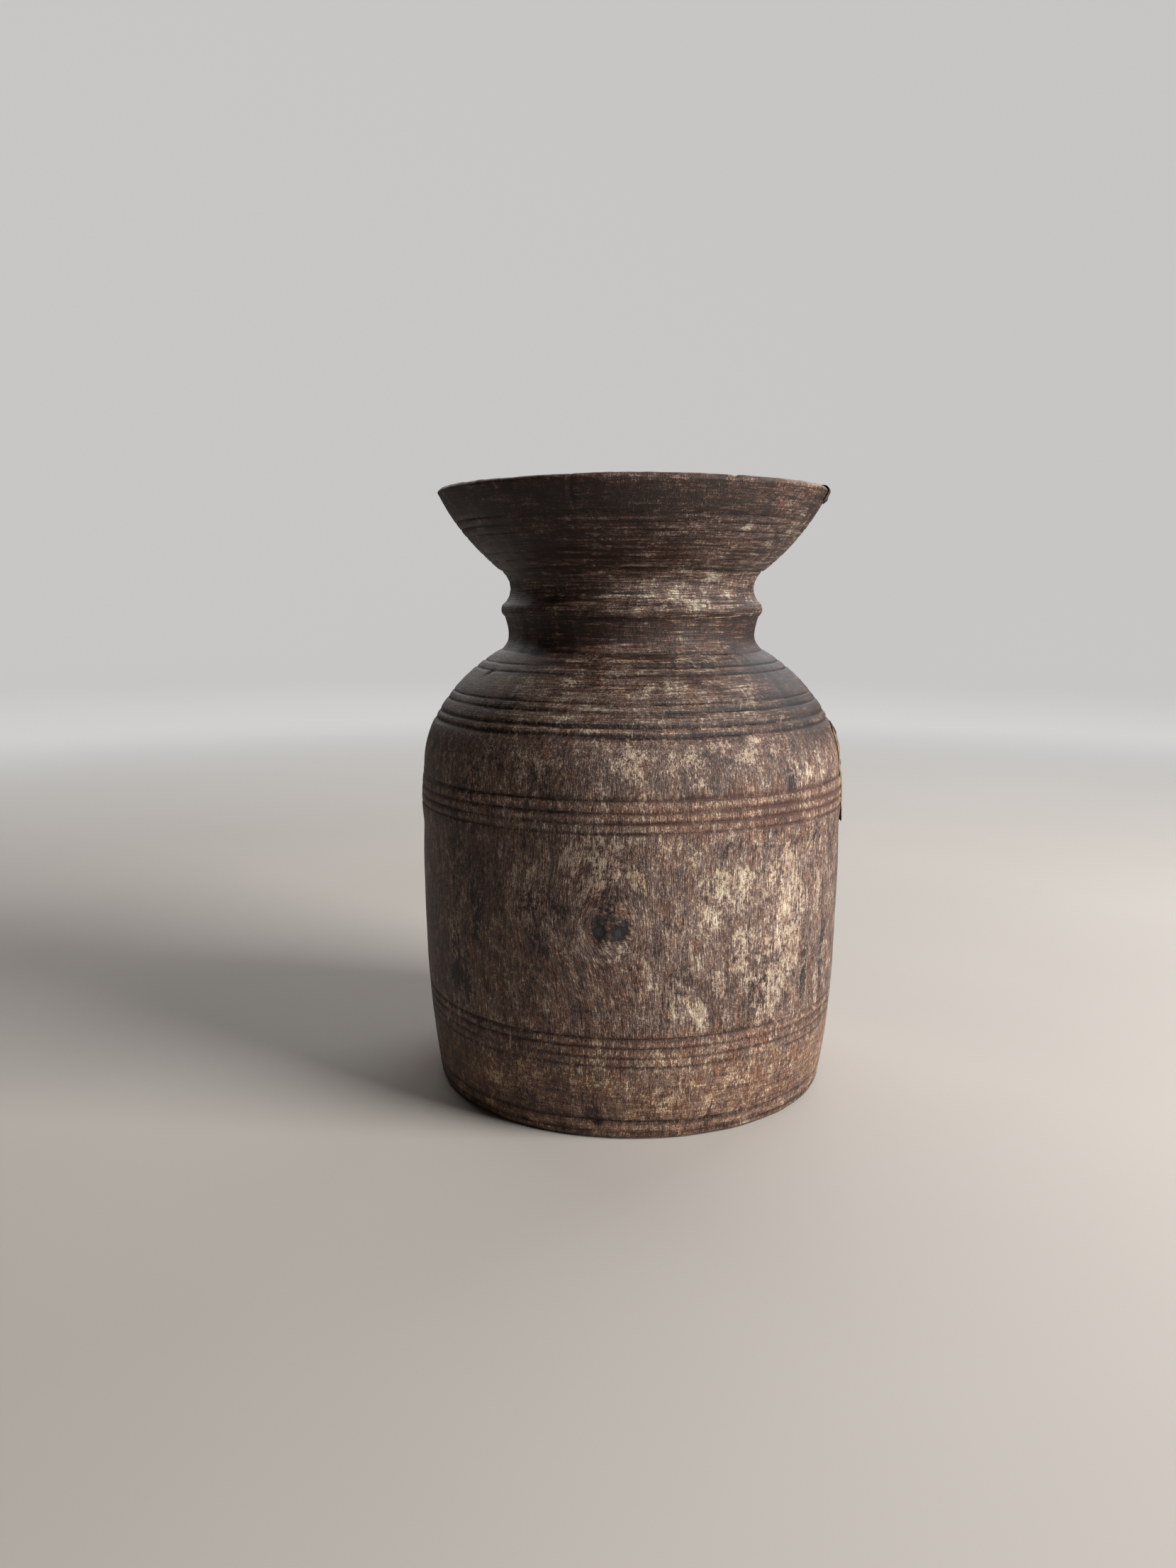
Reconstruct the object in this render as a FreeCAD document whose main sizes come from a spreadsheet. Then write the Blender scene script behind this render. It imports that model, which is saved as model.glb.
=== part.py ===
"""Turned wooden pot: a one-piece vessel with a flared mouth, mended with a nailed sheet and a rim clip.

Frame: +Z up, origin on the pot's axis at the level it stands on, millimetres.
Azimuth 0 is +X; the mended side of the pot faces +X.
"""
import FreeCAD
import Part
import Sketcher
import math
import os

DIMENSIONS = {
    # underside and foot
    "recess_height": 2.5,
    "recess_radius": 62.0,
    "foot_inner_radius": 66.0,
    "foot_radius": 81.5,
    "foot_round": 2.6,
    "foot_side_radius": 83.8,
    "foot_side_height": 2.5,
    # outer wall, from the foot up to the lip; each stretch is an arc between two named points
    "waterline_radius": 89.2,
    "waterline_height": 60.0,
    "flank_arc": 340.0,
    "bulge_radius": 89.3,
    "bulge_height": 111.0,
    "belly_arc": 900.0,
    "shoulder_radius": 88.8,
    "shoulder_height": 136.0,
    "bulge_arc": 78.0,
    "break_radius": 84.0,
    "break_height": 155.0,
    "shoulder_arc": 40.0,
    "neck_radius": 56.0,
    "neck_height": 184.0,
    "slope_arc": 74.0,
    "lower_waist_radius": 52.3,
    "lower_waist_height": 190.0,
    "lower_cove_arc": 7.0,
    "ridge_foot_radius": 53.9,
    "ridge_foot_height": 198.0,
    "ridge_under_arc": 26.0,
    "ridge_top_radius": 53.9,
    "ridge_top_height": 203.6,
    "ridge_arc": 3.4,
    "throat_radius": 54.9,
    "throat_height": 216.3,
    "upper_cove_arc": 8.4,
    "lip_outer_radius": 81.4,
    "lip_height": 248.4,
    "bowl_arc": 92.0,
    "lip_round": 2.3,
    "lip_inner_radius": 77.0,
    # inside of the vessel, from the lip down to the floor
    "funnel_radius": 46.5,
    "funnel_height": 219.0,
    "funnel_arc": 92.0,
    "throat_foot_radius": 47.5,
    "throat_foot_height": 182.0,
    "throat_arc": 55.0,
    "inner_shoulder_radius": 80.0,
    "inner_shoulder_height": 134.0,
    "inner_shoulder_arc": 64.0,
    "inner_wall_radius": 78.0,
    "inner_wall_height": 40.0,
    "inner_wall_arc": 900.0,
    "floor_radius": 54.0,
    "floor_height": 16.0,
    "floor_arc": 24.0,
    # turned lines: V cuts in the outer wall
    "line_mouth": 1.0,
    "line_width": 1.7,
    "line_depth": 0.6,
    "foot_line_height": 8.0,
    "low_line_height": 31.0,
    "low_line_pitch": 3.8,
    "mid_line_height": 120.8,
    "mid_line_pitch": 4.0,
    "break_line_height": 156.4,
    "upper_line_height": 164.0,
    "fine_line_height": 167.6,
    "pair_line_height": 177.0,
    "pair_line_pitch": 2.8,
    "bowl_line_height": 220.2,
    "bowl_line_pitch": 3.0,
    "mouth_line_height": 230.2,
    "mouth_line_pitch": 3.0,
    # nailed repair sheet on the +X side
    "sheet_thickness": 0.6,
    "sheet_angle": 41.0,
    "sheet_turn": 7.5,
    "tack_shank_radius": 0.8,
    "tack_shank_length": 7.0,
    "tack_head_radius": 2.0,
    "tack_dome_radius": 4.4,
    "tack_side_angle": 13.0,
    "tack_low_height": 116.5,
    "tack_mid_height": 136.5,
    "tack_high_height": 150.0,
    # folded clip over the rim, held by one pin
    "clip_thickness": 0.6,
    "clip_fold_radius": 79.2,
    "clip_fold_height": 247.7,
    "clip_leg_height": 243.8,
    "clip_outer_radius": 80.35,
    "clip_inner_radius": 73.25,
    "clip_angle": 13.0,
    "clip_turn": -8.5,
    "pin_shank_radius": 0.5,
    "pin_shank_length": 3.0,
    "pin_head_radius": 1.1,
    "pin_dome_radius": 1.5,
    "pin_height": 245.2,
}

UP = FreeCAD.Vector(0, 0, 1)
START, END, CENTRE = 1, 2, 3

# The outer wall and the inside, as (radius, height) cells joined by stretches:
# each stretch names its arc cell and whether it swells away from the section's left-hand side.
OUTER_WALL = (
    ("foot_side_radius", "foot_side_height", "flank_arc", True),
    ("waterline_radius", "waterline_height", "belly_arc", True),
    ("bulge_radius", "bulge_height", "bulge_arc", True),
    ("shoulder_radius", "shoulder_height", "shoulder_arc", True),
    ("break_radius", "break_height", "slope_arc", True),
    ("neck_radius", "neck_height", "lower_cove_arc", False),
    ("lower_waist_radius", "lower_waist_height", "ridge_under_arc", False),
    ("ridge_foot_radius", "ridge_foot_height", "ridge_arc", True),
    ("ridge_top_radius", "ridge_top_height", "upper_cove_arc", False),
    ("throat_radius", "throat_height", "bowl_arc", True),
)
INSIDE = (
    ("lip_outer_radius", "lip_height", "lip_round", True),
    ("lip_inner_radius", "lip_height", "funnel_arc", False),
    ("funnel_radius", "funnel_height", "throat_arc", True),
    ("throat_foot_radius", "throat_foot_height", "inner_shoulder_arc", False),
    ("inner_shoulder_radius", "inner_shoulder_height", "inner_wall_arc", False),
    ("inner_wall_radius", "inner_wall_height", "floor_arc", False),
)


def cell(name):
    """The number that a cell of the sheet holds."""
    return float(sheet.get(name))


def spot(radius_name, height_name):
    """A point of a half section, from two cells."""
    return FreeCAD.Vector(cell(radius_name), cell(height_name), 0)


def arc_between(start, end, radius, swells):
    """The short arc from start to end. A swelling arc bows to the right of the way from start to end."""
    chord = end - start
    reach = math.sqrt(max(radius ** 2 - chord.Length ** 2 / 4, 0))
    left = FreeCAD.Vector(-chord.y, chord.x, 0).normalize()
    side = 1 if swells else -1
    centre = (start + end) / 2 + left * reach * side
    first, last = (start, end) if swells else (end, start)
    first_angle = math.atan2(first.y - centre.y, first.x - centre.x)
    last_angle = math.atan2(last.y - centre.y, last.x - centre.x)
    return Part.ArcOfCircle(Part.Circle(centre, UP, radius), first_angle, last_angle)


class Section:
    """A half section on its body's XZ plane: local x is the radius and local y the height."""

    def __init__(self, body, name):
        self.sketch = body.newObject("Sketcher::SketchObject", name)
        plane = [f for f in body.Origin.OriginFeatures if f.Role == "XZ_Plane"][0]
        self.sketch.AttachmentSupport = [(plane, "")]
        self.sketch.MapMode = "FlatFace"

    def constrain(self, *terms, expression=None):
        index = self.sketch.addConstraint(Sketcher.Constraint(*terms))
        if expression:
            self.sketch.setExpression(f"Constraints[{index}]", expression)

    def pin(self, edge, end, radius_expression, height_expression):
        """Hold one end of an edge at a radius and a height."""
        at = self.sketch.getPoint(edge, end)
        self.constrain("DistanceX", -1, START, edge, end, at.x, expression=radius_expression)
        self.constrain("DistanceY", -1, START, edge, end, at.y, expression=height_expression)

    def join(self, edge, end, other, other_end):
        self.constrain("Coincident", edge, end, other, other_end)

    def line(self, start, end):
        return self.sketch.addGeometry(Part.LineSegment(start, end), False)

    def arc(self, start, end, arc_name, swells, construction=False, extra=""):
        """An arc whose radius is a cell; returns it with its near and far ends along the outline."""
        growth = cell(extra) if extra else 0
        shape = arc_between(start, end, cell(arc_name) + growth, swells)
        edge = self.sketch.addGeometry(shape, construction)
        grown = f"dims.{arc_name} + dims.{extra}" if extra else f"dims.{arc_name}"
        self.constrain("Radius", edge, cell(arc_name) + growth, expression=grown)
        return (edge, START, END) if swells else (edge, END, START)

    def arcs(self, stations, last_radius, last_height):
        """A chain of arcs through named points; returns its first and last (edge, end)."""
        ends = [(s[0], s[1]) for s in stations[1:]] + [(last_radius, last_height)]
        chain = []
        for (radius, height, arc_name, swells), end in zip(stations, ends):
            edge, near, far = self.arc(spot(radius, height), spot(*end), arc_name, swells)
            if chain:
                self.join(*chain[-1][1], edge, near)
            self.pin(edge, near, f"dims.{radius}", f"dims.{height}")
            chain.append(((edge, near), (edge, far)))
        return chain[0][0], chain[-1][1]


def new_body(label):
    body = doc.addObject("PartDesign::Body", label)
    body.Label = label
    return body


def turn(body, section, name, kind="PartDesign::Revolution", angle=None):
    """Turn a section about the pot's axis, all round or through an angle centred on azimuth 0."""
    feature = body.newObject(kind, name)
    feature.Profile = section.sketch
    feature.ReferenceAxis = (section.sketch, ["V_Axis"])
    feature.Angle = 360
    if angle:
        feature.Midplane = True
        feature.setExpression("Angle", f"dims.{angle}")
    section.sketch.Visibility = False
    doc.recompute()
    return feature


def vessel_section(body):
    """Underside, foot, outer wall, lip, inside and floor, closed along the axis."""
    section = Section(body, "vessel_section")
    wall_start, wall_end = section.arcs(OUTER_WALL, "lip_outer_radius", "lip_height")
    inside_start, inside_end = section.arcs(INSIDE, "floor_radius", "floor_height")
    section.join(*wall_end, *inside_start)
    foot_start = FreeCAD.Vector(cell("foot_radius"), 0, 0)
    foot_end = spot("foot_side_radius", "foot_side_height")
    foot, foot_near, foot_far = section.arc(foot_start, foot_end, "foot_round", True)
    section.join(foot, foot_far, *wall_start)
    corners = (
        FreeCAD.Vector(0, cell("floor_height"), 0),
        FreeCAD.Vector(0, cell("recess_height"), 0),
        spot("recess_radius", "recess_height"),
        FreeCAD.Vector(cell("foot_inner_radius"), 0, 0),
    )
    floor = section.line(spot("floor_radius", "floor_height"), corners[0])
    axis = section.line(corners[0], corners[1])
    recess = section.line(corners[1], corners[2])
    bevel = section.line(corners[2], corners[3])
    ring = section.line(corners[3], foot_start)
    section.join(floor, START, *inside_end)
    for edge, following in ((floor, axis), (axis, recess), (recess, bevel), (bevel, ring)):
        section.join(edge, END, following, START)
    section.join(ring, END, foot, foot_near)
    section.pin(floor, START, "dims.floor_radius", "dims.floor_height")
    section.pin(axis, START, "0 mm", "dims.floor_height")
    section.pin(axis, END, "0 mm", "dims.recess_height")
    section.pin(recess, END, "dims.recess_radius", "dims.recess_height")
    section.pin(bevel, END, "dims.foot_inner_radius", "0 mm")
    section.pin(ring, END, "dims.foot_radius", "0 mm")
    return section


def cut_lines(body, name, stretch, line_heights):
    """Cut V lines in one stretch of the outer wall, given the height expression and number of each line."""
    section = Section(body, f"{name}_section")
    ends = list(OUTER_WALL) + [("lip_outer_radius", "lip_height")]
    low, high = ends[stretch], ends[stretch + 1]
    wall, near, far = section.arc(spot(*low[:2]), spot(*high[:2]), low[2], low[3], construction=True)
    section.pin(wall, near, f"dims.{low[0]}", f"dims.{low[1]}")
    section.pin(wall, far, f"dims.{high[0]}", f"dims.{high[1]}")
    circle = section.sketch.Geometry[wall]
    for height_expression, height in line_heights:
        drop = height - circle.Center.y
        on_wall = FreeCAD.Vector(circle.Center.x + math.sqrt(circle.Radius ** 2 - drop ** 2), height, 0)
        half_width = cell("line_width") / 2 * (1 + cell("line_mouth") / cell("line_depth"))
        apex = on_wall - FreeCAD.Vector(cell("line_depth"), 0, 0)
        upper = on_wall + FreeCAD.Vector(cell("line_mouth"), half_width, 0)
        lower = on_wall + FreeCAD.Vector(cell("line_mouth"), -half_width, 0)
        mark = section.sketch.addGeometry(Part.Point(on_wall), True)
        section.constrain("PointOnObject", mark, START, wall)
        section.constrain("DistanceY", -1, START, mark, START, height, expression=height_expression)
        sides = [section.line(*pair) for pair in ((apex, lower), (lower, upper), (upper, apex))]
        for edge, following in zip(sides, sides[1:] + sides[:1]):
            section.join(edge, END, following, START)
        section.constrain("DistanceX", sides[0], START, mark, START, cell("line_depth"),
                          expression="dims.line_depth")
        section.constrain("DistanceY", sides[0], START, mark, START, 0)
        for edge in (sides[0], sides[1]):
            section.constrain("DistanceX", mark, START, edge, END, cell("line_mouth"),
                              expression="dims.line_mouth")
        reach = "dims.line_width / 2 * (1 + dims.line_mouth / dims.line_depth)"
        section.constrain("DistanceY", sides[0], END, mark, START, half_width, expression=reach)
        section.constrain("DistanceY", mark, START, sides[1], END, half_width, expression=reach)
    before = body.Shape.Volume
    turn(body, section, name, kind="PartDesign::Groove")
    if body.Shape.Volume >= before:
        raise RuntimeError(f"{name} cut nothing")


def line_row(first, pitch, count):
    """Height expressions and numbers of a row of evenly spaced lines."""
    return [(f"dims.{first} + {i} * dims.{pitch}", cell(first) + i * cell(pitch)) for i in range(count)]


def single_line(name):
    return [(f"dims.{name}", cell(name))]


def make_vessel():
    """The pot itself, turned from one block, before any nail hole."""
    body = new_body("vessel")
    turn(body, vessel_section(body), "vessel_turning")
    cut_lines(body, "foot_lines", 0,
              single_line("foot_line_height") + line_row("low_line_height", "low_line_pitch", 4))
    cut_lines(body, "mid_lines", 2, line_row("mid_line_height", "mid_line_pitch", 4))
    cut_lines(body, "shoulder_lines", 4,
              single_line("break_line_height") + single_line("upper_line_height")
              + single_line("fine_line_height") + line_row("pair_line_height", "pair_line_pitch", 2))
    cut_lines(body, "bowl_lines", 9,
              line_row("bowl_line_height", "bowl_line_pitch", 2)
              + line_row("mouth_line_height", "mouth_line_pitch", 3))
    return body


def make_sheet():
    """Repair sheet lying on the bulge and the shoulder."""
    body = new_body("patch_sheet")
    section = Section(body, "sheet_section")
    inner = []
    for station, end in ((OUTER_WALL[2], OUTER_WALL[3]), (OUTER_WALL[3], OUTER_WALL[4])):
        inner.append(section.arc(spot(*station[:2]), spot(*end[:2]), station[2], True))
        section.pin(inner[-1][0], START, f"dims.{station[0]}", f"dims.{station[1]}")
    section.join(inner[0][0], END, inner[1][0], START)
    section.pin(inner[1][0], END, "dims.break_radius", "dims.break_height")
    out = FreeCAD.Vector(cell("sheet_thickness"), 0, 0)
    outer = []
    for station, end in ((OUTER_WALL[2], OUTER_WALL[3]), (OUTER_WALL[3], OUTER_WALL[4])):
        outer.append(section.arc(spot(*station[:2]) + out, spot(*end[:2]) + out, station[2], True,
                                 extra="sheet_thickness"))
    for (near_edge, _, _), (far_edge, _, _) in zip(inner, outer):
        section.join(near_edge, CENTRE, far_edge, CENTRE)
    section.join(outer[0][0], END, outer[1][0], START)
    bottom = section.line(spot("bulge_radius", "bulge_height"), spot("bulge_radius", "bulge_height") + out)
    top = section.line(spot("break_radius", "break_height"), spot("break_radius", "break_height") + out)
    for edge, near, far in ((bottom, (inner[0][0], START), (outer[0][0], START)),
                            (top, (inner[1][0], END), (outer[1][0], END))):
        section.join(edge, START, *near)
        section.join(edge, END, *far)
        section.constrain("Horizontal", edge)
    turn(body, section, "sheet_turning", angle="sheet_angle")
    body.setExpression("Placement.Rotation.Angle", "dims.sheet_turn")
    return body


def make_nail(name, kind, azimuth, seat, outward_slope):
    """A domed nail whose head rests at a seat in the section plane, turned to its azimuth.

    The slope is the angle in degrees by which the way out of the wall rises above level.
    """
    shank = doc.addObject("Part::Cylinder", f"{name}_shank")
    shank.setExpression("Radius", f"dims.{kind}_shank_radius")
    shank.setExpression("Height", f"dims.{kind}_shank_length")
    shank.setExpression("Placement.Base.z", f"-dims.{kind}_shank_length")
    dome = doc.addObject("Part::Sphere", f"{name}_dome")
    dome.setExpression("Radius", f"dims.{kind}_dome_radius")
    dome.setExpression("Angle1", f"acos(dims.{kind}_head_radius / dims.{kind}_dome_radius)")
    dome.setExpression("Placement.Base.z",
                       f"-sqrt(dims.{kind}_dome_radius ^ 2 - dims.{kind}_head_radius ^ 2)")
    nail = doc.addObject("Part::Fuse", name)
    nail.Base = shank
    nail.Tool = dome
    tilt = FreeCAD.Rotation(FreeCAD.Vector(0, 1, 0), 90 - outward_slope)
    around = FreeCAD.Placement(FreeCAD.Vector(), FreeCAD.Rotation(UP, azimuth))
    nail.Placement = around * FreeCAD.Placement(seat, tilt)
    return nail


def sheet_seat(stretch, height):
    """Where a nail's head rests on the sheet, and the slope of the way out of the wall there."""
    low, high = OUTER_WALL[stretch], OUTER_WALL[stretch + 1]
    circle = arc_between(spot(*low[:2]), spot(*high[:2]), cell(low[2]), low[3])
    slope = math.asin((height - circle.Center.y) / circle.Radius)
    lift = circle.Radius + cell("sheet_thickness")
    seat_radius = circle.Center.x + lift * math.cos(slope)
    seat_height = circle.Center.y + lift * math.sin(slope)
    return FreeCAD.Vector(seat_radius, 0, seat_height), math.degrees(slope)


def make_sheet_tacks():
    """Eight tacks round the edge of the sheet, in one group."""
    rows = (
        ("tack_low_height", 2, (-1, 0, 1)),
        ("tack_mid_height", 3, (-1, 1)),
        ("tack_high_height", 3, (-1, 0, 1)),
    )
    tacks = []
    for height_name, stretch, sides in rows:
        seat, slope = sheet_seat(stretch, cell(height_name))
        for side in sides:
            azimuth = cell("sheet_turn") + side * cell("tack_side_angle")
            tacks.append(make_nail(f"tack_{len(tacks) + 1}", "tack", azimuth, seat, slope))
    return group("side_patch_tacks", tacks)


def make_clip_pin():
    """The pin through the clip's outer leg into the rim."""
    foot = spot("clip_outer_radius", "clip_leg_height")
    fold = cell("lip_round") + cell("clip_thickness")
    leg = FreeCAD.Vector(cell("clip_fold_radius") + fold, cell("clip_fold_height"), 0) - foot
    on_leg = foot + leg * ((cell("pin_height") - foot.y) / leg.y)
    slope = -math.degrees(math.atan2(leg.x, leg.y))
    seat = FreeCAD.Vector(on_leg.x, 0, on_leg.y)
    pin = make_nail("rim_clip_pin", "pin", cell("clip_turn"), seat, slope)
    pin.Label = "rim_clip_pin"
    return pin


def group(name, links):
    result = doc.addObject("Part::Compound", name)
    result.Links = links
    result.Label = name
    return result


def cut(label, base, tool):
    result = doc.addObject("Part::Cut", label)
    result.Base = base
    result.Tool = tool
    result.Label = label
    return result


def make_clip_blank():
    """Solid wedge over the rim; the wood is cut out of it, which leaves a folded strip."""
    body = new_body("clip_blank")
    section = Section(body, "clip_section")
    fold = cell("lip_round") + cell("clip_thickness")
    crown = FreeCAD.Vector(*[cell(name) for name in ("clip_fold_radius", "clip_fold_height")], 0)
    side = FreeCAD.Vector(fold, 0, 0)
    top = section.sketch.addGeometry(Part.ArcOfCircle(Part.Circle(crown, UP, fold), 0, math.pi), False)
    inner_foot = spot("clip_inner_radius", "clip_leg_height")
    outer_foot = spot("clip_outer_radius", "clip_leg_height")
    inner_leg = section.line(crown - side, inner_foot)
    foot = section.line(inner_foot, outer_foot)
    outer_leg = section.line(outer_foot, crown + side)
    section.join(top, END, inner_leg, START)
    section.join(inner_leg, END, foot, START)
    section.join(foot, END, outer_leg, START)
    section.join(outer_leg, END, top, START)
    section.constrain("Radius", top, fold, expression="dims.lip_round + dims.clip_thickness")
    section.pin(top, CENTRE, "dims.clip_fold_radius", "dims.clip_fold_height")
    section.constrain("DistanceY", top, CENTRE, top, START, 0)
    section.constrain("DistanceY", top, CENTRE, top, END, 0)
    section.pin(foot, START, "dims.clip_inner_radius", "dims.clip_leg_height")
    section.pin(foot, END, "dims.clip_outer_radius", "dims.clip_leg_height")
    turn(body, section, "clip_turning", angle="clip_angle")
    body.setExpression("Placement.Rotation.Angle", "dims.clip_turn")
    return body


doc = FreeCAD.newDocument("turned_pot")
sheet = doc.addObject("Spreadsheet::Sheet", "dims")
for row, (alias, value) in enumerate(DIMENSIONS.items(), start=1):
    sheet.set(f"A{row}", alias)
    sheet.set(f"B{row}", str(value))
    sheet.setAlias(f"B{row}", alias)
doc.recompute()

vessel = make_vessel()
patch_sheet = make_sheet()
sheet_tacks = make_sheet_tacks()
clip_blank = make_clip_blank()
clip_pin = make_clip_pin()
sub_parts = (
    cut("turned_body", vessel, group("nail_holes", [sheet_tacks, clip_pin])),
    cut("side_patch", patch_sheet, sheet_tacks),
    sheet_tacks,
    cut("rim_clip", cut("clip_on_rim", clip_blank, vessel), clip_pin),
    clip_pin,
)
doc.recompute()

for item in doc.Objects:
    if "Invalid" in item.State or "Error" in item.State:
        raise RuntimeError(f"{item.Label} did not build: {item.State}")
for sub_part in sub_parts:
    if sub_part.Shape.isNull() or not sub_part.Shape.isValid():
        raise RuntimeError(f"{sub_part.Label} has no valid shape")

os.makedirs("parts", exist_ok=True)
for sub_part in sub_parts:
    sub_part.Shape.exportStep(f"parts/{sub_part.Label}.step")
    print(sub_part.Label, round(sub_part.Shape.Volume), "mm3,", len(sub_part.Shape.Solids), "solids")
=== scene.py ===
"""Looks of the turned wooden pot: worn, smoke-darkened wood mended with a nailed sheet and a rim clip.

Lengths in the tables below are millimetres and angles degrees. An azimuth is counted from the side that
faces the camera (-Y) round towards +X, and a height is counted up from the floor.
"""
import math

import bpy
import numpy as np
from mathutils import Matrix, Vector


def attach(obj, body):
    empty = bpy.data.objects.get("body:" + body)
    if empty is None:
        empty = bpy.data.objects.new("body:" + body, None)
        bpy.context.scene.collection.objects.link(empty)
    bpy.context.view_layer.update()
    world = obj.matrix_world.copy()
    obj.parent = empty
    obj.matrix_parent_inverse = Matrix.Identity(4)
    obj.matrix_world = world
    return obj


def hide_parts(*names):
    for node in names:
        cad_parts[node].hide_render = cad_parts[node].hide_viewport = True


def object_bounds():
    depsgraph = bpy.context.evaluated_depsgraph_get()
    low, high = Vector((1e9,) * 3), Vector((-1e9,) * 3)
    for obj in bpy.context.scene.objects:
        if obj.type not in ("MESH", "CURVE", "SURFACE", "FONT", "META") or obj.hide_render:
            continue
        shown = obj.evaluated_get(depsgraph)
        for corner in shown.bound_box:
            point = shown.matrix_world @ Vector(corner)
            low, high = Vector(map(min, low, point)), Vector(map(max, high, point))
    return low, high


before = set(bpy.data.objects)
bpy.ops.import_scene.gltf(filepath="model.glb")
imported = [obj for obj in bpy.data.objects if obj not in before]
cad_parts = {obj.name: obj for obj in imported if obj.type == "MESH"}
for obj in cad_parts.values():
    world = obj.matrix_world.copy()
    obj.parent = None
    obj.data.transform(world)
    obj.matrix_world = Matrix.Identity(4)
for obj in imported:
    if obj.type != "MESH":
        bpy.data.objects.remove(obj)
CAD_LOW, CAD_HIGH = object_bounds()
MM = 0.001

# ----- Shape of the pot -----
# Stations of the half section, as (radius, height, bend). The bend is the radius of the arc to the next station,
# positive where it swells and negative where it hollows, or None for a straight line.
UNDERSIDE = ((0.4, 2.5, None), (62.0, 2.5, None), (66.0, 0.0, None), (81.5, 0.0, 2.6))
OUTER_WALL = (
    (83.8, 2.5, 340.0),
    (89.2, 60.0, 900.0),
    (89.3, 111.0, 78.0),
    (88.8, 136.0, 40.0),
    (84.0, 155.0, 74.0),
    (56.0, 184.0, -7.0),
    (52.3, 190.0, -26.0),
    (53.9, 198.0, 3.4),
    (53.9, 203.6, -8.4),
    (54.9, 216.3, 92.0),
)
INSIDE = (
    (81.4, 248.4, 2.3),
    (77.0, 248.4, -92.0),
    (46.5, 219.0, 55.0),
    (47.5, 182.0, -64.0),
    (80.0, 134.0, -900.0),
    (78.0, 40.0, -24.0),
    (54.0, 16.0, None),
    (0.4, 16.0, None),
)
BELLY_RADIUS = 89.3
NECK_HEIGHT = 190.0
RIDGE_HEIGHT = 200.8

# Mesh of the pot: columns round it, then the spacing of its rows on the hidden faces, on the outer wall, and
# across a turned line of the usual half width
COLUMNS = 384
HIDDEN_STEP, PLAIN_STEP, FINE_STEP = 9.0, 2.9, 0.50
USUAL_HALF_WIDTH = 0.8
PROBE_STEP = 0.05

# Turned lines: height, half width, depth, how dark the line is
TURNED_LINES = (
    (3.2, 0.6, 0.25, 0.7), (8.2, 0.7, 0.45, 0.9), (31.0, 0.65, 0.40, 0.65),
    (34.6, 0.65, 0.40, 0.6), (38.6, 0.65, 0.45, 0.75), (42.4, 0.75, 0.50, 0.75),
    (120.8, 0.7, 0.45, 0.85), (124.5, 0.7, 0.50, 0.95), (128.4, 0.75, 0.55, 1.0),
    (133.0, 0.75, 0.50, 0.9), (156.0, 1.15, 0.75, 1.2), (159.3, 1.0, 0.55, 1.1),
    (164.2, 0.8, 0.55, 1.05), (167.3, 0.6, 0.35, 0.8), (177.0, 0.8, 0.45, 0.95),
    (179.8, 0.7, 0.45, 0.85), (184.2, 0.7, 0.40, 0.8), (216.4, 0.8, 0.55, 0.9),
    (220.2, 0.6, 0.30, 0.4), (223.2, 0.5, 0.25, 0.35), (230.2, 0.5, 0.30, 0.4),
    (233.2, 0.5, 0.30, 0.5), (236.2, 0.5, 0.25, 0.45),
)

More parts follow.
